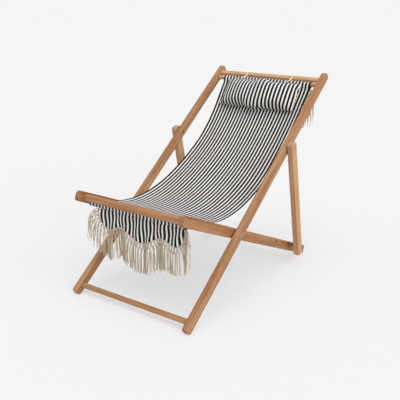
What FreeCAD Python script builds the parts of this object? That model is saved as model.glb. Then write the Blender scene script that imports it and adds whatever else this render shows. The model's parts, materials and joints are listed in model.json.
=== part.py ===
"""Folding sling deck chair, in millimetres: it faces -Y, +Z is up, and X = 0 is its middle plane.

The long back frame stands on the front feet, the seat frame turns inside it on the main pivots and
stands on the rear feet, and two prop legs outside the back frame are pegged to the seat rails.
"""
import FreeCAD, Part
import math
import os
import Sketcher

Vector = FreeCAD.Vector
X_AXIS = Vector(1, 0, 0)

# Driving sizes: name, value, what it measures
DRIVING = [
    ("rail_thickness", 24, "side rails and prop legs, across the chair"),
    ("layer_gap", 2, "between seat rail, back rail and prop leg"),
    ("edge_bevel", 1.8, "eased long edges of the wood"),
    ("floor_flat", 0.8, "height worn off the feet"),
    ("back_angle", 38.35, "back rails above the floor, degrees"),
    ("back_length", 1284, "back rail, end to end"),
    ("back_depth", 32, "back rail, front to rear"),
    ("back_corner", 10, "round of the back rail's ends"),
    ("back_pivot", 419, "foot end to main pivot"),
    ("back_prop_pivot", 858, "foot end to prop pivot"),
    ("foot_dowel_place", 38, "foot end to foot dowel"),
    ("head_dowel_place", 1217, "foot end to head dowel"),
    ("top_rail_place", 1248, "foot end to top rail"),
    ("seat_front", 352, "main pivot to front end of seat rail"),
    ("seat_rear", 668, "main pivot to rear end of seat rail"),
    ("seat_depth", 40, "seat rail, top to bottom"),
    ("seat_corner", 13, "round of the seat rail's ends"),
    ("front_rail_place", 317, "main pivot to front bar"),
    ("front_dowel_place", 289, "main pivot to front sling dowel"),
    ("rear_dowel_place", 560, "main pivot to rear stretcher"),
    ("seat_dowel_drop", 8, "seat dowels below the middle of the rail"),
    ("recline_hole_place", 497, "main pivot to rearmost recline hole"),
    ("recline_hole_pitch", 68.5, "from one recline hole to the next"),
    ("recline_hole_rise", 8, "recline holes above the middle of the rail"),
    ("recline_hole_diameter", 11, ""),
    ("recline_hole_depth", 14, ""),
    ("prop_depth", 38, "prop leg, front to rear"),
    ("prop_corner", 13, "round of the prop leg's ends"),
    ("prop_above", 24, "prop leg above its pivot"),
    ("prop_below", 40, "prop leg below its peg"),
    ("peg_diameter", 16, "peg between prop leg and seat rail"),
    ("peg_clearance", 0.3, "end of peg to seat rail"),
    ("peg_tenon_diameter", 10, ""),
    ("peg_tenon_length", 14, ""),
    ("top_rail_height", 21, "top rail along the back rails"),
    ("top_rail_depth", 18, "top rail, front to rear"),
    ("top_rail_round", 6, "rounded edges of the top rail"),
    ("tenon_shoulder", 4, "step from bar to tenon, all round"),
    ("front_rail_diameter", 28, ""),
    ("foot_dowel_diameter", 21, ""),
    ("sling_dowel_diameter", 18, "head and front dowels in the cloth's pockets"),
    ("rear_dowel_diameter", 20, ""),
    ("mortise_depth", 14, "blind holes for bars and dowels"),
    ("mortise_clearance", 0.1, "tenon to mortise, all round and at the end"),
    ("bolt_diameter", 8, "pivot bolts"),
    ("bolt_clearance", 0.05, "bolt to hole, all round"),
    ("bolt_head_diameter", 15, ""),
    ("bolt_head_height", 4, ""),
    ("bolt_socket", 5, "across the flats of the hexagon socket"),
    ("bolt_socket_depth", 2.5, ""),
    ("nut_diameter", 14, "round barrel nut"),
    ("nut_height", 5, ""),
    ("recess_clearance", 0.3, "bolt head or nut to its recess"),
    ("washer_diameter", 22, ""),
    ("washer_clearance", 0.1, "washer to the turning rail"),
    ("sling_width", 438, "cut width of the cloth"),
    ("sling_side_gap", 4, "cloth edge to seat rail"),
    ("sling_sag_front", 139, "cloth below the line of its dowels, at a fifth from the front"),
    ("sling_sag_seat", 184, "the same at two fifths"),
    ("sling_sag_middle", 173, "the same at three fifths"),
    ("sling_sag_back", 116, "the same at four fifths"),
    ("cloth_thickness", 1.5, ""),
    ("cloth_clearance", 0.3, "cloth to what it goes round or hangs from"),
    ("front_valance_half", 193, "middle of the lobes to a side edge of the front valance"),
    ("front_valance_edge", 20, "front valance below its dowel at the side edges"),
    ("rear_valance_edge", 26, "rear valance below its dowel at the side edges"),
    ("valance_side_drop", 87, "at the lowest point of a side lobe"),
    ("valance_cusp_drop", 69, "at the cusp between two lobes"),
    ("valance_middle_drop", 108, "at the lowest point of the middle lobe"),
    ("valance_side_place", 147, "middle of the lobes to the lowest point of a side lobe"),
    ("valance_cusp_place", 98, "middle of the lobes to a cusp"),
    ("valance_shift", 25, "middle of the lobes from the middle line, towards +X"),
    ("valance_offset", 5.5, "valance to the middle of its dowel, away from the sling"),
    ("valance_folds", 4, "count of hanging folds across the width"),
    ("valance_fold_depth", 9, "front to rear over a fold"),
    ("fringe_length", 118, ""),
    ("fringe_flare", 52, "how far the fringe spreads outwards at the side edges"),
    ("fringe_thickness", 4, ""),
    ("pillow_width", 372, ""),
    ("pillow_height", 147, ""),
    ("pillow_thickness", 62, "at the middle"),
    ("pillow_end_thickness", 24, "at the drawn-in ends"),
    ("pillow_end_height", 137, "at the drawn-in ends"),
    ("pillow_taper", 42, "length of each drawn-in end"),
    ("pillow_drop", 0.5, "top of pillow below the middle of the head dowel, along the cloth"),
    ("strap_place", 114, "middle line to a pillow strap"),
    ("strap_width", 8, ""),
    ("strap_thickness", 1.2, ""),
]

# Sizes and places that follow from the driving sizes
DERIVED = [
    ("seat_inner", "=sling_width / 2 + sling_side_gap"),
    ("seat_outer", "=seat_inner + rail_thickness"),
    ("back_inner", "=seat_outer + layer_gap"),
    ("back_outer", "=back_inner + rail_thickness"),
    ("prop_inner", "=back_outer + layer_gap"),
    ("prop_outer", "=prop_inner + rail_thickness"),
    ("back_axis", "=back_depth / 2"),
    ("seat_axis", "=seat_depth / 2"),
    ("prop_axis", "=prop_depth / 2"),
    # The feet touch the floor with the rounded lower corners of the rails
    ("back_sink", "=back_corner * (1 - sin(back_angle)) + (back_axis - back_corner) * cos(back_angle)"),
    ("pivot_z", "=back_pivot * sin(back_angle) + back_sink - floor_flat"),
    ("seat_reach", "=hypot(seat_rear - seat_corner; seat_axis - seat_corner)"),
    ("seat_angle", "=(asin((pivot_z - seat_corner + floor_flat) / seat_reach)"
                   " - atan2(seat_axis - seat_corner; seat_rear - seat_corner)) / 1deg"),
    # The chair's reach in front of and behind the main pivot centres it on Y = 0
    ("foot_reach", "=(back_pivot - back_corner) * cos(back_angle)"
                   " + (back_axis - back_corner) * sin(back_angle) + back_corner"),
    ("lip_reach", "=(seat_front - seat_corner) * cos(seat_angle)"
                  " + (seat_axis - seat_corner) * sin(seat_angle) + seat_corner"),
    ("head_reach", "=(back_length - back_pivot - back_corner) * cos(back_angle)"
                   " + (back_axis - back_corner) * sin(back_angle) + back_corner"),
    ("pivot_y", "=(max(foot_reach; lip_reach) - head_reach) / 2"),
    # Corner of each side rail where its own frame starts
    ("back_start_y", "=pivot_y - back_pivot * cos(back_angle) + back_axis * sin(back_angle)"),
    ("back_start_z", "=pivot_z - back_pivot * sin(back_angle) - back_axis * cos(back_angle)"),
    ("seat_turn", "=180 - seat_angle"),
    ("seat_start_y", "=pivot_y + seat_rear * cos(seat_angle) + seat_axis * sin(seat_angle)"),
    ("seat_start_z", "=pivot_z - seat_rear * sin(seat_angle) + seat_axis * cos(seat_angle)"),
    ("seat_length", "=seat_rear + seat_front"),
    ("front_rail_u", "=seat_rear + front_rail_place"),
    ("front_dowel_u", "=seat_rear + front_dowel_place"),
    ("rear_dowel_u", "=seat_rear - rear_dowel_place"),
    ("seat_dowel_v", "=seat_axis + seat_dowel_drop"),
    ("recline_u", "=seat_rear - recline_hole_place"),
    ("recline_v", "=seat_axis - recline_hole_rise"),
    ("recline_span", "=2 * recline_hole_pitch"),
    # Prop leg: from the peg in the rearmost hole up to the pivot on the back rail
    ("prop_pivot_y", "=pivot_y + (back_prop_pivot - back_pivot) * cos(back_angle)"),
    ("prop_pivot_z", "=pivot_z + (back_prop_pivot - back_pivot) * sin(back_angle)"),
    ("peg_y", "=pivot_y + recline_hole_place * cos(seat_angle) + recline_hole_rise * sin(seat_angle)"),
    ("peg_z", "=pivot_z - recline_hole_place * sin(seat_angle) + recline_hole_rise * cos(seat_angle)"),
    ("prop_strut", "=hypot(prop_pivot_y - peg_y; prop_pivot_z - peg_z)"),
    ("prop_turn", "=atan2(prop_pivot_z - peg_z; prop_pivot_y - peg_y) / 1deg"),
    ("prop_pivot_u", "=prop_below + prop_strut"),
    ("prop_length", "=prop_pivot_u + prop_above"),
    ("prop_start_y", "=prop_pivot_y - prop_pivot_u * cos(prop_turn) + prop_axis * sin(prop_turn)"),
    ("prop_start_z", "=prop_pivot_z - prop_pivot_u * sin(prop_turn) - prop_axis * cos(prop_turn)"),
    # Bars and dowels, with their mortises
    ("head_y", "=pivot_y + (head_dowel_place - back_pivot) * cos(back_angle)"),
    ("head_z", "=pivot_z + (head_dowel_place - back_pivot) * sin(back_angle)"),
    ("top_y", "=pivot_y + (top_rail_place - back_pivot) * cos(back_angle)"),
    ("top_z", "=pivot_z + (top_rail_place - back_pivot) * sin(back_angle)"),
    ("foot_y", "=pivot_y + (foot_dowel_place - back_pivot) * cos(back_angle)"),
    ("foot_z", "=pivot_z + (foot_dowel_place - back_pivot) * sin(back_angle)"),
    ("bar_y", "=pivot_y - front_rail_place * cos(seat_angle)"),
    ("bar_z", "=pivot_z + front_rail_place * sin(seat_angle)"),
    ("lip_y", "=pivot_y - front_dowel_place * cos(seat_angle) - seat_dowel_drop * sin(seat_angle)"),
    ("lip_z", "=pivot_z + front_dowel_place * sin(seat_angle) - seat_dowel_drop * cos(seat_angle)"),
    ("stretcher_y", "=pivot_y + rear_dowel_place * cos(seat_angle) - seat_dowel_drop * sin(seat_angle)"),
    ("stretcher_z", "=pivot_z - rear_dowel_place * sin(seat_angle) - seat_dowel_drop * cos(seat_angle)"),
    ("back_clear", "=2 * back_inner"),
    ("back_span", "=2 * (back_inner + mortise_depth - mortise_clearance)"),
    ("seat_clear", "=2 * seat_inner"),
    ("seat_span", "=2 * (seat_inner + mortise_depth - mortise_clearance)"),
    ("sling_mortise", "=sling_dowel_diameter + 2 * mortise_clearance"),
    ("foot_mortise", "=foot_dowel_diameter + 2 * mortise_clearance"),
    ("rear_mortise", "=rear_dowel_diameter + 2 * mortise_clearance"),
    ("bar_tenon", "=front_rail_diameter - 2 * tenon_shoulder"),
    ("bar_mortise", "=bar_tenon + 2 * mortise_clearance"),
    ("top_tenon_height", "=top_rail_height - 2 * tenon_shoulder"),
    ("top_tenon_depth", "=top_rail_depth - 2 * tenon_shoulder"),
    ("top_mortise_height", "=top_tenon_height + 2 * mortise_clearance"),
    ("top_mortise_depth", "=top_tenon_depth + 2 * mortise_clearance"),
    # Pivot hardware
    ("pivot_hole", "=bolt_diameter + 2 * bolt_clearance"),
    ("head_recess", "=bolt_head_diameter + 2 * recess_clearance"),
    ("head_recess_depth", "=bolt_head_height + recess_clearance"),
    ("nut_recess", "=nut_diameter + 2 * recess_clearance"),
    ("nut_recess_depth", "=nut_height + recess_clearance"),
    ("washer_thickness", "=layer_gap - washer_clearance"),
    ("peg_hole", "=peg_tenon_diameter + 2 * mortise_clearance"),
    ("peg_hole_depth", "=peg_tenon_length + mortise_clearance"),
    ("peg_body", "=prop_inner - seat_outer - peg_clearance"),
    ("bolt_radius", "=bolt_diameter / 2"),
    ("bolt_head_radius", "=bolt_head_diameter / 2"),
    ("bolt_socket_radius", "=bolt_socket / sqrt(3)"),
    ("main_bolt_length", "=back_outer - seat_inner - recess_clearance"),
    ("main_bolt_x", "=seat_inner + recess_clearance"),
    ("prop_bolt_length", "=prop_outer - back_inner - recess_clearance"),
    ("prop_bolt_x", "=back_inner + recess_clearance"),
    ("pocket_bore", "=sling_dowel_diameter / 2 + cloth_clearance"),
    ("pocket_outside", "=pocket_bore + cloth_thickness"),
    # The front valance hangs off the middle; the rear one is as wide as the sling
    ("front_valance_left", "=min(front_valance_half - valance_shift; sling_width / 2)"),
    ("front_valance_right", "=min(front_valance_half + valance_shift; sling_width / 2)"),
    ("rear_valance_left", "=sling_width / 2"),
    ("rear_valance_right", "=sling_width / 2"),
    ("fringe_reach", "=seat_inner + rail_thickness / 2"),
]

doc = FreeCAD.newDocument("deck_chair")
sheet = doc.addObject("Spreadsheet::Sheet", "Sizes")
nodes = []


def fill_sheet():
    """Write the sizes to the sheet, one aliased cell each."""
    rows = [(name, str(value), note) for name, value, note in DRIVING]
    rows += [(name, formula, "") for name, formula in DERIVED]
    for row, (name, content, note) in enumerate(rows, start=1):
        sheet.set(f"A{row}", name)
        sheet.set(f"B{row}", content)
        sheet.setAlias(f"B{row}", name)
        sheet.set(f"C{row}", note)
    doc.recompute()


def size(name):
    """A size from the sheet as a plain number."""
    return float(getattr(sheet, name))


def cell(name):
    """The expression that binds a property to a size; a leading minus is kept."""
    if name.startswith("-"):
        return "-Sizes." + name[1:]
    return "Sizes." + name


def keep(node, label):
    """Make a finished object a sub-part of the chair, under its own label."""
    node.Label = label
    nodes.append(node)
    return node


# Sketches and features

def new_body(label):
    return keep(doc.addObject("PartDesign::Body", label), label)


def plane(body, role):
    return next(item for item in body.Origin.OriginFeatures if item.Role == role)


def new_sketch(body, name, height=None):
    """A sketch on the body's YZ plane, or on a plane at the given height along X."""
    sketch = body.newObject("Sketcher::SketchObject", name)
    sketch.AttachmentSupport = [(plane(body, "YZ_Plane"), "")]
    sketch.MapMode = "FlatFace"
    if height:
        sketch.setExpression("AttachmentOffset.Base.z", cell(height))
    return sketch


def bind(sketch, constraint, name, alias):
    """Add a dimension to a sketch and tie it to a size."""
    index = sketch.addConstraint(constraint)
    sketch.renameConstraint(index, name)
    sketch.setExpression("Constraints." + name, cell(alias))


def closed_outline(sketch, points):
    """Straight lines through the points, joined end to end; returns the index of the first line."""
    first = sketch.GeometryCount
    count = len(points)
    for index, point in enumerate(points):
        sketch.addGeometry(Part.LineSegment(point, points[(index + 1) % count]), False)
    for index in range(count):
        following = first + (index + 1) % count
        sketch.addConstraint(Sketcher.Constraint("Coincident", first + index, 2, following, 1))
    return first


def rectangle(sketch, length, height):
    """A rectangle from the origin, its two sides tied to sizes."""
    long, tall = size(length), size(height)
    corners = [Vector(0, 0), Vector(long, 0), Vector(long, tall), Vector(0, tall)]
    first = closed_outline(sketch, corners)
    sketch.addConstraint(Sketcher.Constraint("Coincident", first, 1, -1, 1))
    square_up(sketch, first, length, height)


def middle_rectangle(sketch, length, height, at=None):
    """A rectangle about the origin, or about a point given by two sizes."""
    x, y = (size(at[0]), size(at[1])) if at else (0, 0)
    long, tall = size(length) / 2, size(height) / 2
    corners = [Vector(x - long, y - tall), Vector(x + long, y - tall),
               Vector(x + long, y + tall), Vector(x - long, y + tall)]
    first = closed_outline(sketch, corners)
    square_up(sketch, first, length, height)
    if at:
        middle = sketch.addGeometry(Part.Point(Vector(x, y)), True)
        place_point(sketch, middle, 1, at)
        sketch.addConstraint(Sketcher.Constraint("Symmetric", first, 1, first + 2, 1, middle, 1))
    else:
        sketch.addConstraint(Sketcher.Constraint("Symmetric", first, 1, first + 2, 1, -1, 1))


def square_up(sketch, first, length, height):
    """Level and upright sides for a rectangle, with its two dimensions."""
    for side in (0, 2):
        sketch.addConstraint(Sketcher.Constraint("Horizontal", first + side))
        sketch.addConstraint(Sketcher.Constraint("Vertical", first + side + 1))
    bind(sketch, Sketcher.Constraint("DistanceX", first, 1, first, 2, size(length)), "long", length)
    bind(sketch, Sketcher.Constraint("DistanceY", first + 1, 1, first + 1, 2, size(height)), "tall", height)


def place_point(sketch, geometry, vertex, at):
    """Tie a point of the sketch to two sizes, measured from the origin."""
    across = Sketcher.Constraint("DistanceX", -1, 1, geometry, vertex, size(at[0]))
    bind(sketch, across, f"across_{geometry}", at[0])
    up = Sketcher.Constraint("DistanceY", -1, 1, geometry, vertex, size(at[1]))
    bind(sketch, up, f"up_{geometry}", at[1])


def circle(sketch, diameter, at=None):
    """A circle about the origin, or about a point given by two sizes."""
    x, y = (size(at[0]), size(at[1])) if at else (0, 0)
    ring = sketch.addGeometry(Part.Circle(Vector(x, y), Vector(0, 0, 1), size(diameter) / 2), False)
    bind(sketch, Sketcher.Constraint("Diameter", ring, size(diameter)), f"wide_{ring}", diameter)
    if at:
        place_point(sketch, ring, 3, at)
    else:
        sketch.addConstraint(Sketcher.Constraint("Coincident", ring, 3, -1, 1))


def pad(body, sketch, length, both_ways=False):
    feature = body.newObject("PartDesign::Pad", sketch.Name + "_pad")
    feature.Profile = sketch
    feature.Midplane = both_ways
    feature.setExpression("Length", cell(length))
    sketch.Visibility = False
    doc.recompute()
    return feature


def pocket(body, sketch, length=None, towards_plus_x=False):
    """Cut the sketch into the body along X, through it or to a depth, and check that it cut."""
    before = body.Shape.Volume
    feature = body.newObject("PartDesign::Pocket", sketch.Name + "_pocket")
    feature.Profile = sketch
    feature.Reversed = towards_plus_x
    if length:
        feature.setExpression("Length", cell(length))
    else:
        feature.Type = "ThroughAll"
    doc.recompute()
    if body.Shape.Volume >= before:
        raise ValueError(f"{feature.Name} cuts nothing")
    return feature


def along_x(edge):
    """True for an edge that runs across the chair."""
    if len(edge.Vertexes) < 2:
        return False
    run = edge.Vertexes[1].Point - edge.Vertexes[0].Point
    return abs(run.x) > 0.99 * edge.Length


def ease(body, feature, chosen, how, amount):
    """Round (Fillet) or bevel (Chamfer) the edges of a feature that the test picks."""
    names = [f"Edge{number}" for number, edge in enumerate(feature.Shape.Edges, start=1) if chosen(edge)]
    eased = body.newObject("PartDesign::" + how, f"{body.Name}_{amount}")
    eased.Base = (feature, names)
    eased.setExpression("Radius" if how == "Fillet" else "Size", cell(amount))
    doc.recompute()
    return eased


def place(body, base, turn=None):
    """Tie the body's place, and its turn about X in degrees, to sizes."""
    if turn:
        body.Placement = FreeCAD.Placement(Vector(), FreeCAD.Rotation(X_AXIS, size(turn)))
        body.setExpression("Placement.Rotation.Angle", cell(turn) + " * 1deg")
    for axis, name in zip("xyz", base):
        if name:
            body.setExpression("Placement.Base." + axis, cell(name))


# Side rails and prop legs

def side_bar(label, side, length, depth, corner, start, turn, outer, inner):
    """A flat bar with round ends and eased edges, on the right (side 1) or left (-1) of the chair."""
    body = new_body(label)
    place(body, (inner if side > 0 else "-" + outer, start + "_y", start + "_z"), turn)
    outline = new_sketch(body, label + "_outline")
    rectangle(outline, length, depth)
    blank = pad(body, outline, "rail_thickness")
    rounded = ease(body, blank, along_x, "Fillet", corner)
    ease(body, rounded, lambda edge: not along_x(edge), "Chamfer", "edge_bevel")
    return body


def cut_foot(body, turn, start_z):
    """Cut the bar off level with the floor, across its whole thickness."""
    angle = math.radians(size(turn))
    up = Vector(math.sin(angle), math.cos(angle))
    level = Vector(math.cos(angle), -math.sin(angle))
    middle = up * -size(start_z)
    reach = size("seat_depth") * 2
    depth = size("seat_depth")
    sketch = new_sketch(body, body.Name + "_floor")
    closed_outline(sketch, [middle - level * reach, middle + level * reach,
                            middle + level * reach - up * depth, middle - level * reach - up * depth])
    pocket(body, sketch, towards_plus_x=True)


def drill(body, side, face, diameter, at, depth=None):
    """A round hole in the inner or outer face of a side bar, through it or to a depth."""
    from_start = (face == "inner") == (side > 0)
    name = f"{body.Name}_{face}_{at[0]}_{diameter}"
    sketch = new_sketch(body, name, None if from_start else "rail_thickness")
    circle(sketch, diameter, at)
    return pocket(body, sketch, depth, towards_plus_x=from_start)


def back_rail(label, side):
    body = side_bar(label, side, "back_length", "back_depth", "back_corner", "back_start", "back_angle",
                    "back_outer", "back_inner")
    cut_foot(body, "back_angle", "back_start_z")
    main, prop = ("back_pivot", "back_axis"), ("back_prop_pivot", "back_axis")
    drill(body, side, "inner", "pivot_hole", main)
    drill(body, side, "outer", "head_recess", main, "head_recess_depth")
    drill(body, side, "inner", "pivot_hole", prop)
    drill(body, side, "inner", "nut_recess", prop, "nut_recess_depth")
    drill(body, side, "inner", "foot_mortise", ("foot_dowel_place", "back_axis"), "mortise_depth")
    drill(body, side, "inner", "sling_mortise", ("head_dowel_place", "back_axis"), "mortise_depth")
    mortise = new_sketch(body, label + "_top_mortise", None if side > 0 else "rail_thickness")
    middle_rectangle(mortise, "top_mortise_height", "top_mortise_depth", ("top_rail_place", "back_axis"))
    pocket(body, mortise, "mortise_depth", towards_plus_x=side > 0)


def seat_rail(label, side):
    body = side_bar(label, side, "seat_length", "seat_depth", "seat_corner", "seat_start", "seat_turn",
                    "seat_outer", "seat_inner")
    cut_foot(body, "seat_turn", "seat_start_z")
    main = ("seat_rear", "seat_axis")
    drill(body, side, "inner", "pivot_hole", main)
    drill(body, side, "inner", "nut_recess", main, "nut_recess_depth")
    drill(body, side, "inner", "bar_mortise", ("front_rail_u", "seat_axis"), "mortise_depth")
    drill(body, side, "inner", "sling_mortise", ("front_dowel_u", "seat_dowel_v"), "mortise_depth")
    drill(body, side, "inner", "rear_mortise", ("rear_dowel_u", "seat_dowel_v"), "mortise_depth")
    rearmost = ("recline_u", "recline_v")
    hole = drill(body, side, "outer", "recline_hole_diameter", rearmost, "recline_hole_depth")
    row = body.newObject("PartDesign::LinearPattern", label + "_recline_holes")
    row.Originals = [hole]
    row.Direction = (plane(body, "Y_Axis"), [""])
    row.setExpression("Length", cell("recline_span"))
    row.Occurrences = 3
    body.Tip = row
    doc.recompute()


def prop_leg(label, side):
    body = side_bar(label, side, "prop_length", "prop_depth", "prop_corner", "prop_start", "prop_turn",
                    "prop_outer", "prop_inner")
    pivot = ("prop_pivot_u", "prop_axis")
    drill(body, side, "inner", "pivot_hole", pivot)
    drill(body, side, "outer", "head_recess", pivot, "head_recess_depth")
    drill(body, side, "inner", "peg_hole", ("prop_below", "prop_axis"), "peg_hole_depth")


def prop_peg(label, side):
    """A turned peg: its tenon is in the prop leg, and its body reaches across to the seat rail."""
    body = new_body(label)
    place(body, ("prop_inner" if side > 0 else "-prop_inner", "peg_y", "peg_z"))
    tenon = new_sketch(body, label + "_tenon")
    circle(tenon, "peg_tenon_diameter")
    pad(body, tenon, "peg_tenon_length").Reversed = side < 0
    shank = new_sketch(body, label + "_body")
    circle(shank, "peg_diameter")
    pad(body, shank, "peg_body").Reversed = side > 0
    doc.recompute()


# Bars and dowels between the rails

def dowel(label, diameter, span, base):
    body = new_body(label)
    place(body, (None, base + "_y", base + "_z"))
    section = new_sketch(body, label + "_section")
    circle(section, diameter)
    pad(body, section, span, both_ways=True)
    return body


def front_rail():
    """The round bar at the front, with a thinner tenon at each end."""
    body = dowel("front_rail", "front_rail_diameter", "seat_clear", "bar")
    tenon = new_sketch(body, "front_rail_tenon")
    circle(tenon, "bar_tenon")
    pad(body, tenon, "seat_span", both_ways=True)


def top_rail():
    """The flat bar at the top, square to the back rails, with a tenon at each end."""
    body = new_body("top_rail")
    place(body, (None, "top_y", "top_z"), "back_angle")
    section = new_sketch(body, "top_rail_section")
    middle_rectangle(section, "top_rail_height", "top_rail_depth")
    bar = pad(body, section, "back_clear", both_ways=True)
    ease(body, bar, along_x, "Fillet", "top_rail_round")
    tenon = new_sketch(body, "top_rail_tenon")
    middle_rectangle(tenon, "top_tenon_height", "top_tenon_depth")
    pad(body, tenon, "back_span", both_ways=True)


# Pivot hardware, made on the right side and mirrored to the left

def cylinder(name, radius, height, base):
    """A round bar along +X from a place given by three sizes."""
    bar = doc.addObject("Part::Cylinder", name)
    bar.Placement = FreeCAD.Placement(Vector(), FreeCAD.Rotation(Vector(0, 1, 0), 90))
    bar.setExpression("Radius", radius)
    bar.setExpression("Height", height)
    for axis, place_name in zip("xyz", base):
        bar.setExpression("Placement.Base." + axis, place_name)
    return bar


def boolean(kind, name, base, tool):
    result = doc.addObject("Part::" + kind, name)
    result.Base = base
    result.Tool = tool
    return result


def pair(label, right):
    """One node of two: the right piece and its mirror image on the left."""
    left = doc.addObject("Part::Mirroring", label + "_left")
    left.Source = right
    left.Normal = X_AXIS
    both = doc.addObject("Part::Compound", label)
    both.Links = [right, left]
    keep(both, label)


def pivot_set(name, bolt, point, washer_inside):
    """Bolt, washer and barrel nut of one pivot; the bolt goes in from the outside."""
    y, z = cell(point + "_y"), cell(point + "_z")
    start, reach = cell(bolt + "_x"), cell(bolt + "_length")
    hole = "Sizes.bolt_radius + Sizes.bolt_clearance"
    shank = cylinder(name + "_shank", cell("bolt_radius"), reach, (start, y, z))
    top = f"{start} + {reach}"
    head = cylinder(name + "_head", cell("bolt_head_radius"), cell("bolt_head_height"),
                    (f"{top} - Sizes.bolt_head_height", y, z))
    socket = doc.addObject("Part::Prism", name + "_socket")
    socket.Polygon = 6
    socket.Placement = FreeCAD.Placement(Vector(), FreeCAD.Rotation(Vector(0, 1, 0), 90))
    socket.setExpression("Circumradius", cell("bolt_socket_radius"))
    socket.setExpression("Height", "2 * Sizes.bolt_socket_depth")
    for axis, place_name in zip("xyz", (f"{top} - Sizes.bolt_socket_depth", y, z)):
        socket.setExpression("Placement.Base." + axis, place_name)
    solid = boolean("Fuse", name + "_blank", head, shank)
    pair(name + "_pivot_bolts", boolean("Cut", name + "_bolt", solid, socket))

    inside = (washer_inside, y, z)
    ring = cylinder(name + "_ring", "Sizes.washer_diameter / 2", cell("washer_thickness"), inside)
    bore = cylinder(name + "_ring_bore", hole, cell("washer_thickness"), inside)
    pair(name + "_pivot_washers", boolean("Cut", name + "_washer", ring, bore))

    nut_start = f"{start} - Sizes.recess_clearance"
    barrel = cylinder(name + "_barrel", "Sizes.nut_diameter / 2", cell("nut_height"), (nut_start, y, z))
    thread = cylinder(name + "_barrel_bore", hole, cell("nut_height"), (nut_start, y, z))
    pair(name + "_pivot_nuts", boolean("Cut", name + "_nut", barrel, thread))


# Soft goods

def cloth_part(label, shape):
    keep(doc.addObject("Part::Feature", label), label).Shape = shape


def sling_line():
    """Middle line of the hanging cloth in the YZ plane, from the front dowel to the head dowel."""
    front = Vector(0, size("lip_y"), size("lip_z"))
    chord = Vector(0, size("head_y"), size("head_z")) - front
    down = Vector(0, chord.z, -chord.y).normalize()
    sags = [0] + [size("sling_sag_" + part) for part in ("front", "seat", "middle", "back")] + [0]
    steps = len(sags) - 1
    points = [front + chord * (step / steps) + down * sag for step, sag in enumerate(sags)]
    curve = Part.BSplineCurve()
    curve.interpolate(points)
    return curve


def beside(curve, distance, steps):
    """A chain of arcs a constant distance above (or, if negative, below) a curve in the YZ plane."""
    first, last = curve.FirstParameter, curve.LastParameter
    points = []
    for step in range(steps + 1):
        at = first + (last - first) * step / steps
        run = curve.tangent(at)[0]
        points.append(curve.value(at) + Vector(0, -run.z, run.y) * distance)
    return [Part.Arc(*points[start:start + 3]).toShape() for start in range(0, steps, 2)]


def round_bar(radius, y, z, width):
    return Part.makeCylinder(radius, width, Vector(-width / 2, y, z), X_AXIS)


def sling():
    """The hanging cloth, with a sewn pocket round the head dowel and the front dowel."""
    width, half = size("sling_width"), size("cloth_thickness") / 2
    line = sling_line()
    upper, lower = beside(line, half, 12), beside(line, -half, 12)
    caps = [Part.LineSegment(upper[-1].Vertexes[-1].Point, lower[-1].Vertexes[-1].Point).toShape(),
            Part.LineSegment(lower[0].Vertexes[0].Point, upper[0].Vertexes[0].Point).toShape()]
    outline = Part.Wire(upper + [caps[0]] + lower[::-1] + [caps[1]])
    cloth = Part.Face(outline).extrude(X_AXIS * width)
    cloth.translate(X_AXIS * (-width / 2))
    for end in ("lip", "head"):
        cloth = cloth.fuse(round_bar(size("pocket_outside"), size(end + "_y"), size(end + "_z"), width))
    for end in ("lip", "head"):
        cloth = cloth.cut(round_bar(size("pocket_bore"), size(end + "_y"), size(end + "_z"), width))
    cloth_part("sling", cloth.removeSplitter())


def ribbon(thickness, fold_depth):
    """Level outline of a folded strip across the chair: arcs that bulge forwards and back in turn."""
    count = int(2 * size("valance_folds"))
    width, rise = 2 * size("fringe_reach"), fold_depth / 2
    step = width / count
    slope = 2 * math.atan2(2 * rise, step)
    sides = []
    for offset in (thickness / 2, -thickness / 2):
        arcs = []
        for index in range(count):
            bulge = 1 if index % 2 == 0 else -1
            start, end = index * step - width / 2, (index + 1) * step - width / 2
            lean = Vector(-bulge * math.sin(slope), math.cos(slope), 0) * offset
            back_lean = Vector(bulge * math.sin(slope), math.cos(slope), 0) * offset
            crest = Vector((start + end) / 2, bulge * rise + offset, 0)
            arcs.append(Part.Arc(Vector(start, 0, 0) + lean, crest, Vector(end, 0, 0) + back_lean).toShape())
        sides.append(arcs)
    front, back = sides
    caps = [Part.LineSegment(front[-1].Vertexes[-1].Point, back[-1].Vertexes[-1].Point).toShape(),
            Part.LineSegment(back[0].Vertexes[0].Point, front[0].Vertexes[0].Point).toShape()]
    return Part.Wire(front + [caps[0]] + back[::-1] + [caps[1]])


def scallop(name, drop, flare=0):
    """A plate seen from the front: a valance's three lobes, let down by a drop and spread at the sides."""
    edge, cusp = size(name + "_valance_edge"), size("valance_cusp_drop") + drop
    side, middle = size("valance_side_drop") + drop, size("valance_middle_drop") + drop
    shift, lobe, dip = size("valance_shift"), size("valance_side_place"), size("valance_cusp_place")
    lobe += flare / 3
    flanks = []
    for way, corner in ((-1, "_valance_left"), (1, "_valance_right")):
        x = size(name + corner)
        spread = min(flare, size("fringe_reach") - x)
        low = Vector(way * (x + spread), 0, -edge - math.sqrt(drop ** 2 - spread ** 2))
        shoulder = [Vector(way * x, 0, -edge)] if flare else []
        flanks.append([low] + shoulder + [Vector(way * x, 0, 0)])
    left = [flanks[0][0], Vector(shift - lobe, 0, -side), Vector(shift - dip, 0, -cusp)]
    right = [Vector(shift + dip, 0, -cusp), Vector(shift + lobe, 0, -side), flanks[1][0]]
    arcs = [Part.Arc(*left), Part.Arc(left[-1], Vector(shift, 0, -middle), right[0]), Part.Arc(*right)]
    border = flanks[1] + flanks[0][::-1]
    lines = [Part.LineSegment(start, end) for start, end in zip(border, border[1:])]
    outline = Part.Wire([piece.toShape() for piece in arcs + lines])
    deep = size("valance_fold_depth") * 4
    plate = Part.Face(outline).extrude(Vector(0, deep, 0))
    plate.translate(Vector(0, -deep / 2, 0))
    return plate


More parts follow.
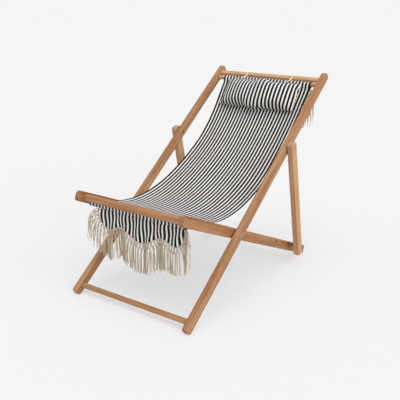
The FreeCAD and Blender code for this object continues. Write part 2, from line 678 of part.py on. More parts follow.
def hanging(name, kind, end, side, thickness, top, lower):
    """A folded strip below a dowel, from a scalloped edge let down by top (or the pocket) to a lower one."""
    y, z = size(end + "_y") + side * size("valance_offset"), size(end + "_z")
    full = size("valance_middle_drop") + size("fringe_length")
    start = size("pocket_outside") + size("cloth_clearance")
    strip = Part.Face(ribbon(thickness, size("valance_fold_depth"))).extrude(Vector(0, 0, -full))
    strip.translate(Vector(0, 0, -start))
    shape = strip.common(lower)
    if top:
        # Clear of the edge above on all sides, also where that edge runs steeply
        for sideways in (-top, 0, top):
            edge = scallop(name, top)
            edge.translate(X_AXIS * sideways)
            shape = shape.cut(edge)
        # The cuts leave specks beside the ends of the strip
        shape = max(shape.Solids, key=lambda solid: solid.Volume)
    shape.translate(Vector(0, y, z))
    cloth_part(f"{name}_{kind}", shape)


def valance(name, end, side):
    """The striped flap, and the fringe sewn to its scalloped edge."""
    gap, length = size("cloth_clearance"), size("fringe_length")
    hanging(name, "valance", end, side, size("cloth_thickness"), 0, scallop(name, 0))
    fringe_edge = scallop(name, length, size("fringe_flare"))
    hanging(name, "fringe", end, side, size("fringe_thickness"), gap, fringe_edge)


def pillow_frame():
    """Top of the pillow's seam on the cloth, the way down the cloth and the way out of it, in YZ."""
    line = sling_line()
    start = line.length() - size("pillow_drop")
    top, middle, low = [line.value(line.parameterAtDistance(start - size("pillow_height") * share))
                        for share in (0, 0.5, 1)]
    down = (low - top).normalize()
    out = Vector(0, down.z, -down.y)
    bow = (top - middle).dot(out)
    lift = size("pillow_thickness") / 4 + size("cloth_thickness") / 2 + size("cloth_clearance") - bow
    return top + out * lift, down, out


def pillow_seams(x):
    """Upper and lower seam of the pillow at a distance from the middle plane, and its thickness there."""
    top, down, out = pillow_frame()
    ease = min(1, (size("pillow_width") / 2 - abs(x)) / size("pillow_taper"))
    tall = size("pillow_end_height") + (size("pillow_height") - size("pillow_end_height")) * ease
    deep = size("pillow_end_thickness") + (size("pillow_thickness") - size("pillow_end_thickness")) * ease
    middle = top + down * (size("pillow_height") / 2) + X_AXIS * x
    return middle - down * (tall / 2), middle + down * (tall / 2), deep


def head_pillow():
    """A stuffed bolster: crowned front and back, thinner and shorter at its drawn-in ends."""
    out = pillow_frame()[2]
    half = size("pillow_width") / 2
    full = half - size("pillow_taper")
    sections = []
    for x in (-half, -full, full, half):
        upper, lower, deep = pillow_seams(x)
        middle = (upper + lower) / 2
        front, back = middle + out * (deep * 0.75), middle - out * (deep * 0.25)
        sides = [Part.Arc(upper, front, lower), Part.Arc(lower, back, upper)]
        sections.append(Part.Wire([arc.toShape() for arc in sides]))
    cloth_part("head_pillow", Part.makeLoft(sections, True, True))


def pillow_strap(label, side):
    """A thin flat strap: a loop round the top rail, and a tail down to the pillow's seam."""
    width, thin, gap = size("strap_width"), size("strap_thickness"), size("cloth_clearance")
    turn = FreeCAD.Rotation(X_AXIS, size("back_angle"))
    centre = Vector(side * size("strap_place"), size("top_y"), size("top_z"))

    def sleeve(margin):
        tall, deep = size("top_rail_height") + 2 * margin, size("top_rail_depth") + 2 * margin
        block = Part.makeBox(width, tall, deep, Vector(-width / 2, -tall / 2, -deep / 2))
        edges = [edge for edge in block.Edges if along_x(edge)]
        return block.makeFillet(size("top_rail_round") + margin, edges)

    def tape(start, end):
        run = end - start
        piece = Part.makeBox(width, run.Length + thin / 2, thin, Vector(-width / 2, -thin / 2, -thin / 2))
        slope = math.degrees(math.atan2(run.z, run.y))
        piece.Placement = FreeCAD.Placement(start, FreeCAD.Rotation(X_AXIS, slope))
        return piece

    loop = sleeve(gap + thin).cut(sleeve(gap))
    loop.Placement = FreeCAD.Placement(centre, turn)
    # The tail runs from the front of the rail over the cloth's pocket, then bends down to the pillow
    start = centre + turn.multVec(Vector(0, 0, size("top_rail_depth") / 2 + gap + thin / 2))
    drop = size("head_dowel_place") - size("top_rail_place")
    front = max(size("top_rail_depth") / 2, size("pocket_outside")) + 2 * gap + thin / 2
    corner = centre + turn.multVec(Vector(0, drop, front))
    seam = pillow_seams(centre.x)[0]
    end = seam - (seam - corner).normalize() * gap
    cloth_part(label, loop.fuse([tape(start, corner), tape(corner, end)]).removeSplitter())


def check_and_write():
    """Stop on anything that failed to build, then write each sub-part to its own file."""
    doc.recompute()
    for item in doc.Objects:
        if "Invalid" in item.State or "Error" in item.State:
            raise ValueError(f"{item.Label} failed: {item.State}")
    for node in nodes:
        if node.Shape.isNull() or not node.Shape.isValid() or not node.Shape.Solids:
            raise ValueError(f"{node.Label} has no valid solid")
    os.makedirs("parts", exist_ok=True)
    for node in nodes:
        node.Shape.exportStep(f"parts/{node.Label}.step")


def main():
    fill_sheet()
    for name, side in (("right", 1), ("left", -1)):
        back_rail("back_rail_" + name, side)
        seat_rail("seat_rail_" + name, side)
        prop_leg("prop_leg_" + name, side)
        prop_peg("prop_peg_" + name, side)
        pillow_strap("pillow_strap_" + name, side)
    top_rail()
    dowel("head_dowel", "sling_dowel_diameter", "back_span", "head")
    dowel("foot_dowel", "foot_dowel_diameter", "back_span", "foot")
    front_rail()
    dowel("front_dowel", "sling_dowel_diameter", "seat_span", "lip")
    dowel("rear_dowel", "rear_dowel_diameter", "seat_span", "stretcher")
    pivot_set("main", "main_bolt", "pivot", "Sizes.seat_outer + Sizes.washer_clearance")
    pivot_set("prop", "prop_bolt", "prop_pivot", "Sizes.back_outer")
    sling()
    valance("front", "lip", -1)
    valance("rear", "head", 1)
    head_pillow()
    check_and_write()


main()
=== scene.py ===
"""Looks of the folding sling deck chair, in metres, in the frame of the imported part."""
import json
import math
import random

import bpy
import numpy as np
from mathutils import Matrix, Vector


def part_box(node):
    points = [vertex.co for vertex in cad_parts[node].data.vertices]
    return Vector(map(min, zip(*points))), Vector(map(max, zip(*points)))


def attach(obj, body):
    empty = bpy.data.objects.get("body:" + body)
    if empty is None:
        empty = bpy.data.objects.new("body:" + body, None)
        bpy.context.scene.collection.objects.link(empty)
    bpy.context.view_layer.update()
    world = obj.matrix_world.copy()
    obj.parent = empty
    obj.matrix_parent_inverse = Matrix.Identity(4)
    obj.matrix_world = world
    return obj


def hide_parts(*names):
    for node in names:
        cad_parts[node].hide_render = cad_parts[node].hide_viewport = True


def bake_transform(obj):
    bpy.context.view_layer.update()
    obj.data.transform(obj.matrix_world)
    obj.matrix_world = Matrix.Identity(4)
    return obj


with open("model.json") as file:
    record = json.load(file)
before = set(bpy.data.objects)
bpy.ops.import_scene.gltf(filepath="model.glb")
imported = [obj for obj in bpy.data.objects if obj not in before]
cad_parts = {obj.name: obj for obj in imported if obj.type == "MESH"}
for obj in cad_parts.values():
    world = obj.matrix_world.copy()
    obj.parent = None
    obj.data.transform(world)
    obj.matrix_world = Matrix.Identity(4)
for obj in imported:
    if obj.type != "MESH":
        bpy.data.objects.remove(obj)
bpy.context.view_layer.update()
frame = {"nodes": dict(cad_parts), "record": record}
nodes = frame["nodes"]

# Sizes and angles that the part's source sets or works out
BACK_ANGLE = math.radians(38.35)
SEAT_ANGLE = math.radians(22.343)
PROP_ANGLE = math.radians(104.625)
SLING_HALF = 0.219
SLING_SAGS = (0.139, 0.184, 0.173, 0.116)
POCKET_OUTSIDE = 0.0108
PILLOW_SIZE = (0.372, 0.147, 0.062)
PILLOW_DROP = 0.0005
STRAP_PLACE = 0.114
TOP_RAIL_SECTION = (0.021, 0.018)
TOP_RAIL_ROUND = 0.006

# Cloth and its stripes
CLOTH_THICKNESS = 0.0012
BLACK_STRIPES = 28
STRIPE_PITCH = 2 * SLING_HALF / (BLACK_STRIPES - 0.5)
PILLOW_PITCH = 1.08 * STRIPE_PITCH
STRIPE_SOFTNESS = 0.055
STRIPE_WANDER = 0.0008
THREAD_PITCHES = (0.0011, 0.0013)
STITCH_PITCH = 0.0042
STITCH_INSET = 0.009

# Pockets: places along the cloth from the dowel's middle, with half the gap between the two layers there
POCKET_TAIL, TAIL_GAP = 0.032, 0.0009
POCKET_SEAM, SEAM_GAP = 0.022, 0.0012
POCKET_MOUTH, MOUTH_GAP = 0.013, 0.0048
WRAP_ANGLE, WRAP_STEPS = 112, 12
POCKET_DROOP = 0.007

# Sling between its pockets: its mesh, the pull at its waist, and its curled edges and ripples
LINE_POINTS, LINE_STEP, PATH_POINTS = 600, 6, 1400
FREE_START, FREE_LIFT = 0.034, 0.0007
SLING_SPACING, SLING_COLUMNS = 0.008, 88
EASE_LENGTH = 0.16
WAIST_PLACE, WAIST_SPREAD, WAIST_PULL = 0.27, 0.15, 0.009
HEAD_DRIFT = 0.004
CURL_START, CURL_SPREAD, CURL_HEIGHT = 0.185, 0.03, 0.0025
HOLLOW_HEIGHT, RIPPLE_HEIGHT = 0.003, 0.0022

# Valances: top edge below the dowel, distance from the dowel, ends across the chair, and scallops
VALANCE_TOP = {"front": 0.0150, "rear": 0.003}
VALANCE_AWAY = {"front": 0.0065, "rear": 0.012}
VALANCE_ENDS = {"front": (-0.170, 0.216), "rear": (-0.205, 0.205)}
VALANCE_ROWS, VALANCE_COLUMNS, DROP_SAMPLES = 17, 216, 400
LOBE_SHIFT = 0.023
SIDE_LOBE_PLACE, SIDE_LOBE_DROP = 0.148, 0.089
CUSP_PLACE, CUSP_DROP = 0.098, 0.071
MIDDLE_LOBE_DROP = 0.110
EDGE_DROP = 0.020

# Folds of the hanging cloth, which grow from a place below the dowel down to the fringe's foot
FOLD_DEPTH, FOLD_PITCHES = 0.012, (0.088, 0.057)
FOLD_PHASE = {"front": 0.6, "rear": 2.1}
FOLD_START, FOLD_GROWTH = 0.02, 1.8
FRINGE_FOOT = 0.23
SWAY_WIDTH, SWAY_PHASE, SWAY_TURN = 0.0034, 1.8, 3

# The front valance's left end hangs a little further ahead
LEFT_AHEAD, LEFT_START, LEFT_SPREAD = 0.010, -0.10, 0.11

# Fringe: its length, which is trimmed at the right, and how far it flares to the sides
FRINGE_LENGTH = 0.117
TRIM_SHARE, TRIM_START, TRIM_SPREAD = 0.10, 0.09, 0.07
FRINGE_REACH = {"front": 0.229, "rear": 0.222}
FLARE_LENGTH = 0.045
SIDE_LEAN, LEAST_LEAN = 0.88, 0.1

# Tufts of the fringe, their knots and their cords
EDGE_POINTS = 1200
TUFT_PITCH = 0.012
TUFT_CORDS = 5
FIRST_KNOT, SECOND_KNOT = 0.012, 0.026
KNOT_GAP, KNOT_WIDTH = 0.0012, 0.0030
LOOSE_START, LOOSE_SHARE = 1.6 * SECOND_KNOT, 0.6
CORD_SPREAD = 0.0055
CORD_STEPS, STEP_POWER = 16, 1.25
CORD_LENGTHS = (-0.007, 0.003)
LAYER_DEPTH, LAYER_SPREAD = 0.0017, 0.0008
CORD_SWAYS, CORD_PHASES = (0.0003, 0.0020), (0, 6.28)
SWAY_ACROSS, SWAY_AHEAD = 50, 42
CORD_PLIES, PLY_RADIUS = 2, 0.00084
EDGE_PLIES, EDGE_PLY_RADIUS, EDGE_CORD_OUT = 3, 0.0015, 0.0012
PLY_TURN, POINTS_IN_TURN = 0.0115, 5
YARN_SIDES = 4
YARN_UV_SHARE = 0.98

# Pillow: the flat bag, its stuffing, and the form of the stuffed bag
BAG_WIDTH, BAG_HEIGHT = 0.388, 0.168
BAG_COLUMNS, BAG_ROWS = 79, 35
BAG_CROWN, BAG_PUCKER = 0.010, 0.0005
STUFFING_PRESSURE, STUFFING_FRAMES = 5.0, 24
SMOOTH_TURNS = 10
PILLOW_FULLNESS = 0.75
FRONT_SHARE, BACK_SHARE = 1.5, 0.5
PILLOW_SAG = 0.20
PILLOW_CLEARANCE = 0.00105

# Straps of the pillow
STRAP_WIDTH, STRAP_THICKNESS = 0.0065, 0.0010
STRAP_GAP = 0.0010
STRAP_LEAN = 0.25
STRAP_POINTS, STRAP_CORNER_STEPS = 400, 3
STRAP_COLUMNS, STRAP_SPACING = 5, 0.0025
STRAP_SEAM_INSET, STRAP_SEAM_LIFT = 0.006, 0.003
STRAP_UV_WIDTH = 0.12

# Studio: the floor's and the backdrop's shades, and lamps as source direction, energy and softness in degrees
FLOOR_SHADE, FLOOR_REACH, FLOOR_GLOW_SHARE = 0.91, 40, 0.60
BACKDROP_SHADE = 0.913
SKY_STRENGTH = 0.44
LAMPS = {"overhead": ((0.10, -0.20, 0.97), 1.20, 60), "side": ((0.85, -0.20, 0.48), 1.30, 50)}

# Camera, found by fitting the frame's edges to the photograph; angles in degrees
CAMERA_PLACE = (1.3396, -2.00983, 1.03846)
CAMERA_YAW, CAMERA_PITCH, CAMERA_ROLL = 34.387, 16.792, 1.2334
CAMERA_LENS, CAMERA_SENSOR = 54.975, 36


def centre(node):
    """Middle of a CAD node, in the YZ plane."""
    low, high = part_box(node)
    return np.array([(low.y + high.y) / 2, (low.z + high.z) / 2])


# Middles of the two dowels that hold the cloth, and of the top rail
HEAD, LIP, TOP = centre("head_dowel"), centre("front_dowel"), centre("top_rail")


# Colours and shader nodes

def srgb(red, green, blue):
    """A colour from 0 to 255 as linear values with alpha."""
    linear = []
    for value in (red, green, blue):
        share = value / 255
        linear.append(share / 12.92 if share <= 0.04045 else ((share + 0.055) / 1.055) ** 2.4)
    return (*linear, 1)


def grey(value):
    return (value, value, value, 1)


WHITE = grey(1)
WOOD_SHADES = {0.30: srgb(134, 88, 55), 0.50: srgb(174, 128, 88), 0.70: srgb(204, 164, 121)}
PALE_WOOD, DARK_WOOD = srgb(232, 197, 157), srgb(130, 79, 36)
# The second colour on the next line is painted shade: wood is darkened to it in holes, joints and corners.
WARM_TINT, CREVICE_SHADE, PORE_TINT = srgb(255, 236, 216), srgb(70, 48, 36), (0.66, 0.57, 0.50, 1)
BLACK_THREADS = (srgb(9, 6, 5), srgb(33, 28, 27))
WHITE_THREADS = (srgb(234, 232, 230), srgb(254, 253, 252))
STITCH_THREAD = srgb(205, 200, 192)
YARN_SHADES = {0.0: srgb(240, 221, 188), 0.5: srgb(248, 233, 206), 1.0: srgb(254, 246, 226)}
# The first colour on the next line is painted shade, for the grooves between the plies of each cord.
GROOVE_SHADE, SOIL_TINT = (0.50, 0.40, 0.30, 1), (0.8, 0.76, 0.7, 1)
ZINC_SHADES = (srgb(150, 128, 104), srgb(204, 182, 154))
# Colours of the nuts: painted shade, standing for the shadow at the pivots where the nuts sit.
NUT_PAINTED_SHADE_COLOURS = (srgb(64, 52, 44), srgb(104, 88, 76))


def fill_inputs(tree, item, inputs):
    """Give a shader node its inputs; each is a value or another node's socket."""
    for name, value in inputs.items():
        if isinstance(value, bpy.types.NodeSocket):
            tree.links.new(value, item.inputs[name])
        else:
            item.inputs[name].default_value = value


def add(tree, kind, inputs=None, **settings):
    """A new shader node with its settings and inputs."""
    item = tree.nodes.new(kind)
    for name, value in settings.items():
        setattr(item, name, value)
    fill_inputs(tree, item, inputs or {})
    return item


def maths(tree, operation, first, second=0.0, third=0.0):
    return add(tree, "ShaderNodeMath", {0: first, 1: second, 2: third}, operation=operation).outputs[0]


def wave(tree, value, pitch):
    """A sine of the given pitch, from 0 to 1."""
    turn = maths(tree, "SINE", maths(tree, "MULTIPLY", value, 2 * math.pi / pitch))
    return maths(tree, "MULTIPLY_ADD", turn, 0.5, 0.5)


def mix(tree, share, first, second, blend="MIX"):
    item = add(tree, "ShaderNodeMix", {0: share, 6: first, 7: second}, data_type="RGBA", blend_type=blend)
    return item.outputs[2]


def ramp(tree, value, stops):
    """A grey or coloured ramp; stops give the colour at each place."""
    item = add(tree, "ShaderNodeValToRGB", {0: value})
    elements = item.color_ramp.elements
    while len(elements) < len(stops):
        elements.new(0.5)
    for element, (place, colour) in zip(elements, stops.items()):
        element.position = place
        element.color = colour
    return item.outputs[0]


def remap(tree, value, low, high):
    """A value from 0 to 1 spread from low to high."""
    return add(tree, "ShaderNodeMapRange", {0: value, 3: low, 4: high}).outputs[0]


def mapping(tree, vector, scale=(1, 1, 1), rotation=(0, 0, 0), location=(0, 0, 0)):
    inputs = {"Vector": vector, "Scale": scale, "Rotation": rotation, "Location": location}
    return add(tree, "ShaderNodeMapping", inputs).outputs[0]


def noise(tree, vector, scale=1.0, detail=4.0, roughness=0.55):
    inputs = {"Vector": vector, "Scale": scale, "Detail": detail, "Roughness": roughness}
    return add(tree, "ShaderNodeTexNoise", inputs).outputs[0]


def bump(tree, height, strength, distance):
    inputs = {"Height": height, "Strength": strength, "Distance": distance}
    return add(tree, "ShaderNodeBump", inputs).outputs[0]


def flat_place(tree):
    """The cloth's or yarn's UV, whole and as its two parts."""
    flat = add(tree, "ShaderNodeUVMap", uv_map="flat").outputs[0]
    split = add(tree, "ShaderNodeSeparateXYZ", {0: flat})
    return flat, split.outputs[0], split.outputs[1]


def new_material(name):
    material = bpy.data.materials.new(name)
    material.use_nodes = True
    tree = material.node_tree
    tree.nodes.clear()
    shader = add(tree, "ShaderNodeBsdfPrincipled")
    output = add(tree, "ShaderNodeOutputMaterial")
    tree.links.new(shader.outputs[0], output.inputs[0])
    return material, tree, shader


def wood_material(name, turn, offset, pale):
    """Oiled hardwood. The grain runs along Y after a turn about X, or along X where turn is None."""
    material, tree, shader = new_material(name)
    place = add(tree, "ShaderNodeTexCoord").outputs["Object"]
    rotation = (0, 0, math.radians(90)) if turn is None else (-turn, 0, 0)
    turned = mapping(tree, place, rotation=rotation, location=offset)

    def grain(fine, coarse, detail, roughness=0.55):
        """Noise that is fine across the wood and coarse along it."""
        return noise(tree, mapping(tree, turned, (fine, coarse, fine)), 1.0, detail, roughness)

    streaks, hue, pores = grain(95, 2.2, 5.0, 0.62), grain(22, 3.5, 3.0), grain(420, 14, 3.0, 0.6)
    rings = add(tree, "ShaderNodeTexWave", {"Vector": mapping(tree, turned, (60, 2.5, 60)), "Scale": 1.6,
                                            "Distortion": 6.0, "Detail": 3.0, "Detail Scale": 1.2},
                wave_type="BANDS", bands_direction="DIAGONAL").outputs[1]
    # Ambient occlusion darkens the wood in holes, joints and corners as painted shade.
    corner = add(tree, "ShaderNodeAmbientOcclusion", {"Distance": 0.012}, samples=8).outputs["AO"]
    warmth = ramp(tree, hue, {0.35: WARM_TINT, 0.65: WHITE})
    lines = ramp(tree, rings, {0.0: PORE_TINT, 0.30: WHITE, 1.0: WHITE})
    specks = ramp(tree, pores, {0.34: PORE_TINT, 0.50: WHITE})
    crevice_shade = ramp(tree, corner, {0.15: CREVICE_SHADE, 0.65: WHITE})
    colour = mix(tree, abs(pale), ramp(tree, streaks, WOOD_SHADES), PALE_WOOD if pale > 0 else DARK_WOOD)
    for share, tint in ((0.85, warmth), (0.35, lines), (0.45, specks), (0.9, crevice_shade)):
        colour = mix(tree, share, colour, tint, "MULTIPLY")
    fill_inputs(tree, shader, {"Base Color": colour, "Roughness": remap(tree, pores, 0.64, 0.46),
                               "Specular IOR Level": 0.35, "Normal": bump(tree, pores, 0.25, 0.0006)})
    return material


def cloth_material(name, black=0.63, pitch=STRIPE_PITCH, stitched_edge=None):
    """Cotton canvas in even stripes. UV is the cloth's own flat place in metres, X across the stripes."""
    material, tree, shader = new_material(name)
    flat, side, along = flat_place(tree)
    shift = pitch / 4 - STRIPE_WANDER / 2
    wander = maths(tree, "MULTIPLY_ADD", noise(tree, flat, 900.0, 2.0), STRIPE_WANDER, shift)
    stripes = wave(tree, maths(tree, "ADD", side, wander), pitch)
    band = ramp(tree, stripes, {black - STRIPE_SOFTNESS: grey(0), black + STRIPE_SOFTNESS: WHITE})
    slub = noise(tree, mapping(tree, flat, (1500, 140, 1)), 1.0, 3.0)
    patch = ramp(tree, noise(tree, flat, 14.0, 3.0), {0.3: grey(0.55), 0.7: WHITE})
    colour = mix(tree, band, mix(tree, slub, *BLACK_THREADS), mix(tree, slub, *WHITE_THREADS))
    colour = mix(tree, 0.08, colour, patch, "MULTIPLY")
    weft, warp = wave(tree, side, THREAD_PITCHES[0]), wave(tree, along, THREAD_PITCHES[1])
    height = maths(tree, "ADD", maths(tree, "MULTIPLY", weft, warp), maths(tree, "MULTIPLY", slub, 0.5))
    if stitched_edge:
        inset = maths(tree, "SUBTRACT", maths(tree, "ABSOLUTE", side), stitched_edge)
        millimetres = maths(tree, "MULTIPLY", maths(tree, "ABSOLUTE", inset), 1000.0)
        line = ramp(tree, millimetres, {0.35: WHITE, 0.75: grey(0)})
        dash = ramp(tree, wave(tree, along, STITCH_PITCH), {0.28: grey(0), 0.36: WHITE})
        colour = mix(tree, maths(tree, "MULTIPLY", line, dash), colour, STITCH_THREAD)
        height = maths(tree, "SUBTRACT", height, maths(tree, "MULTIPLY", line, 1.5))
    fill_inputs(tree, shader, {"Base Color": colour, "Roughness": 0.86, "Specular IOR Level": 0.2,
                               "Sheen Weight": 0.06, "Normal": bump(tree, height, 0.35, 0.0004)})
    return material


def yarn_material(name):
    """Undyed cotton yarn. UV X is the yarn's number plus the way round from its outer side, Y the length."""
    material, tree, shader = new_material(name)
    flat, around, along = flat_place(tree)
    number = maths(tree, "FLOOR", around)
    chance = add(tree, "ShaderNodeTexWhiteNoise", {"W": number}, noise_dimensions="1D").outputs[0]
    fibres = wave(tree, maths(tree, "MULTIPLY_ADD", around, 2.0, maths(tree, "DIVIDE", along, 0.0045)), 1.0)
    # Each ply is darkened on its side towards the cord's middle: painted shade in the grooves between the
    # plies.
    outer = wave(tree, maths(tree, "ADD", around, 0.25), 1.0)
    groove_shade = ramp(tree, outer, {0.10: GROOVE_SHADE, 0.50: WHITE})
    soil = ramp(tree, noise(tree, flat, 420.0, 2.0), {0.3: SOIL_TINT, 0.6: WHITE})
    colour = mix(tree, 0.9, ramp(tree, chance, YARN_SHADES), groove_shade, "MULTIPLY")
    colour = mix(tree, 0.25, colour, soil, "MULTIPLY")
    fill_inputs(tree, shader, {"Base Color": colour, "Roughness": 0.9, "Specular IOR Level": 0.2,
                               "Sheen Weight": 0.10, "Normal": bump(tree, fibres, 0.4, 0.0004)})
    return material


def steel_material(name, dull, bright):
    """Plated steel with fine turning marks and a few dull spots."""
    material, tree, shader = new_material(name)
    place = add(tree, "ShaderNodeTexCoord").outputs["Object"]
    marks = noise(tree, mapping(tree, place, (1800, 260, 260)), 1.0, 3.0)
    colour = ramp(tree, noise(tree, place, 240.0, 4.0), {0.35: dull, 0.60: bright})
    gloss = remap(tree, marks, 0.30, 0.52)
    fill_inputs(tree, shader, {"Base Color": colour, "Metallic": 0.85, "Roughness": gloss,
                               "Normal": bump(tree, marks, 0.2, 0.0002)})
    return material


# Mesh and line helpers

def make_object(name, verts, faces, flat, material):
    """A smooth mesh object; flat gives each vertex its UV, or each face a list of them."""
    mesh = bpy.data.meshes.new(name)
    mesh.from_pydata([tuple(vert) for vert in verts], [], faces)
    layer = mesh.uv_layers.new(name="flat")
    per_face = len(flat) == len(faces) and not np.isscalar(flat[0][0])
    for face, polygon in enumerate(mesh.polygons):
        for corner, loop in enumerate(polygon.loop_indices):
            layer.data[loop].uv = flat[face][corner] if per_face else flat[mesh.loops[loop].vertex_index]
    mesh.polygons.foreach_set("use_smooth", [True] * len(mesh.polygons))
    mesh.update()
    item = bpy.data.objects.new(name, mesh)
    bpy.context.scene.collection.objects.link(item)
    mesh.materials.append(material)
    return item


def grid_faces(rows, columns):
    """Four-sided faces of a grid whose vertices are listed row by row."""
    faces = []
    for row in range(rows - 1):
        for column in range(columns - 1):
            first = row * columns + column
            faces.append((first, first + 1, first + columns + 1, first + columns))
    return faces


def apply_modifiers(item):
    """Make what the modifiers show the object's own mesh."""
    graph = bpy.context.evaluated_depsgraph_get()
    shown = item.evaluated_get(graph)
    mesh = bpy.data.meshes.new_from_object(shown, preserve_all_data_layers=True, depsgraph=graph)
    item.modifiers.clear()
    item.data = mesh
    return item


def thicken(item, thickness):
    solid = item.modifiers.new("thickness", "SOLIDIFY")
    solid.thickness = thickness
    solid.offset = 0
    return apply_modifiers(item)


def lengths(line):
    """Distance along a line to each of its points."""
    return np.concatenate([[0], np.cumsum(np.linalg.norm(np.diff(line, axis=0), axis=1))])


def natural_spline(points, count):
    """Smooth curve through points in a plane, as a dense line."""
    points = np.asarray(points, float)
    knots = lengths(points)
    size, step = len(points), np.diff(knots)
    matrix, right = np.eye(size), np.zeros(points.shape)
    for i in range(1, size - 1):
        matrix[i, i - 1:i + 2] = step[i - 1], 2 * (step[i - 1] + step[i]), step[i]
        right[i] = 6 * ((points[i + 1] - points[i]) / step[i] - (points[i] - points[i - 1]) / step[i - 1])
    bend = np.linalg.solve(matrix, right)
    line = []
    for at in np.linspace(0, knots[-1], count):
        i = min(np.searchsorted(knots, at, side="right") - 1, size - 2)
        a, b = (knots[i + 1] - at) / step[i], (at - knots[i]) / step[i]
        curve = ((a ** 3 - a) * bend[i] + (b ** 3 - b) * bend[i + 1]) * step[i] ** 2 / 6
        line.append(a * points[i] + b * points[i + 1] + curve)
    return np.array(line)


def resample(line, spacing):
    """The same line with points an even distance apart."""
    run = lengths(line)
    places = np.linspace(0, run[-1], max(2, int(round(run[-1] / spacing)) + 1))
    return np.stack([np.interp(places, run, line[:, axis]) for axis in range(line.shape[1])], axis=1)


def headings(line):
    """Unit direction of a line at each of its points."""
    run = np.gradient(line, axis=0)
    return run / np.linalg.norm(run, axis=1)[:, None]


def normals(line):
    """Left-hand normals of a line in a plane."""
    run = headings(line)
    return np.stack([-run[:, 1], run[:, 0]], axis=1)


def smooth_step(value):
    """From 0 to 1 with a gentle start and end, and level beyond them."""
    share = min(1.0, max(0.0, value))
    return share * share * (3 - 2 * share)


def ripple(x, y, seed):
    """Slow smooth noise, about from -1 to 1."""
    total = 0
    for number, (fine, coarse, weight) in enumerate(((9, 5, 0.5), (17, 8, 0.3), (31, 21, 0.2))):
        first = math.sin(fine * x + 1.7 * seed + number)
        total += weight * first * math.cos(coarse * y + 2.3 * seed + 2 * number)
    return total


# Hanging cloth

def sling_line():
    """Middle line of the cloth from the front dowel to the head dowel, in the YZ plane."""
    chord = HEAD - LIP
    down = np.array([chord[1], -chord[0]]) / np.linalg.norm(chord)
    sags = (0, *SLING_SAGS, 0)
    points = [LIP + chord * number / (len(sags) - 1) + down * sag for number, sag in enumerate(sags)]
    return natural_spline(points, LINE_POINTS)


LINE = sling_line()
RUN = lengths(LINE)


def on_line(distance):
    """Point of the sling's middle line at a distance from the front dowel."""
    return np.array([np.interp(distance, RUN, LINE[:, axis]) for axis in (0, 1)])


def pocket_end(dowel, into, upper, droop):
    """Path of the cloth round a dowel: under layer, round the outside, and back to the upper layer."""
    path = [dowel + into * POCKET_TAIL - upper * TAIL_GAP, dowel + into * POCKET_SEAM - upper * SEAM_GAP,
            dowel + into * POCKET_MOUTH - upper * MOUTH_GAP]
    for step in range(WRAP_STEPS + 1):
        angle = math.radians(-WRAP_ANGLE + 2 * WRAP_ANGLE * step / WRAP_STEPS)
        way = upper * math.sin(angle) - into * math.cos(angle)
        radius = POCKET_OUTSIDE - CLOTH_THICKNESS / 2 + droop * max(0.0, -way[1])
        path.append(dowel + radius * way)
    path += [dowel + into * POCKET_MOUTH + upper * MOUTH_GAP, dowel + into * POCKET_SEAM + upper * SEAM_GAP]
    return path


def sling_path():
    """The cloth's whole path from one pocket's tail to the other's, with points an even distance apart."""
    up, ahead = normals(LINE), headings(LINE)
    inner = [number for number, run in enumerate(RUN) if FREE_START < run < RUN[-1] - FREE_START]
    middle = [LINE[number] + up[number] * FREE_LIFT for number in inner[::LINE_STEP]]
    near_front, near_head = 4, -5
    front_end = pocket_end(LIP, ahead[near_front], up[near_front], POCKET_DROOP)
    head_end = pocket_end(HEAD, -ahead[near_head], up[near_head], 0.0)
    return resample(natural_spline(front_end + middle + head_end[::-1], PATH_POINTS), SLING_SPACING)


def make_sling(material):
    """The sling, one strip of cloth sewn into a pocket round each dowel, and the length of the strip."""
    path = sling_path()
    side, run = normals(path), lengths(path)
    verts, flat = [], []
    for row, (point, normal) in enumerate(zip(path, side)):
        ease = min(1.0, min(run[row], run[-1] - run[row]) / EASE_LENGTH) ** 2
        waist = 1 - ease * WAIST_PULL / SLING_HALF * math.exp(-((point[0] - WAIST_PLACE) / WAIST_SPREAD) ** 2)
        drift = HEAD_DRIFT * smooth_step((point[0] - WAIST_PLACE) / WAIST_SPREAD)
        for column in range(SLING_COLUMNS):
            x = -SLING_HALF + 2 * SLING_HALF * column / (SLING_COLUMNS - 1)
            curl = max(0.0, (abs(x) - CURL_START) / CURL_SPREAD)
            hollow = CURL_HEIGHT * curl * curl + HOLLOW_HEIGHT * (x / SLING_HALF) ** 2
            lift = hollow + RIPPLE_HEIGHT * ripple(3 * x, 2 * run[row], 1)
            place = point + normal * lift * ease
            verts.append((x * waist + drift, place[0], place[1]))
            flat.append((x, run[row]))
    sling = make_object("sling_cloth", verts, grid_faces(len(path), SLING_COLUMNS), flat, material)
    return thicken(sling, CLOTH_THICKNESS), run[-1]


def edge_drop(name, x):
    """How far a valance's scalloped edge hangs below its dowel, at a place across the chair."""
    left, right = VALANCE_ENDS[name]
    lobes = [(LOBE_SHIFT - SIDE_LOBE_PLACE, SIDE_LOBE_DROP), (LOBE_SHIFT - CUSP_PLACE, CUSP_DROP),
             (LOBE_SHIFT, MIDDLE_LOBE_DROP), (LOBE_SHIFT + CUSP_PLACE, CUSP_DROP),
             (LOBE_SHIFT + SIDE_LOBE_PLACE, SIDE_LOBE_DROP)]
    for (place, drop), end in ((lobes[0], left), (lobes[-1], right)):
        share = (x - place) / (end - place)
        if share >= 0:
            # A side edge is a quarter of an ellipse, upright at the top
            return EDGE_DROP + (drop - EDGE_DROP) * math.sqrt(max(0.0, 1 - share * share))
    # Between two lobes or cusps, the edge is half a wave
    for (start, first), (end, second) in zip(lobes, lobes[1:]):
        if x <= end:
            break
    share = (x - start) / (end - start)
    return first + (second - first) * (1 - math.cos(math.pi * share)) / 2


def places_across(name, count):
    """Places across a valance, from its left end to its right."""
    return np.linspace(*VALANCE_ENDS[name], count)


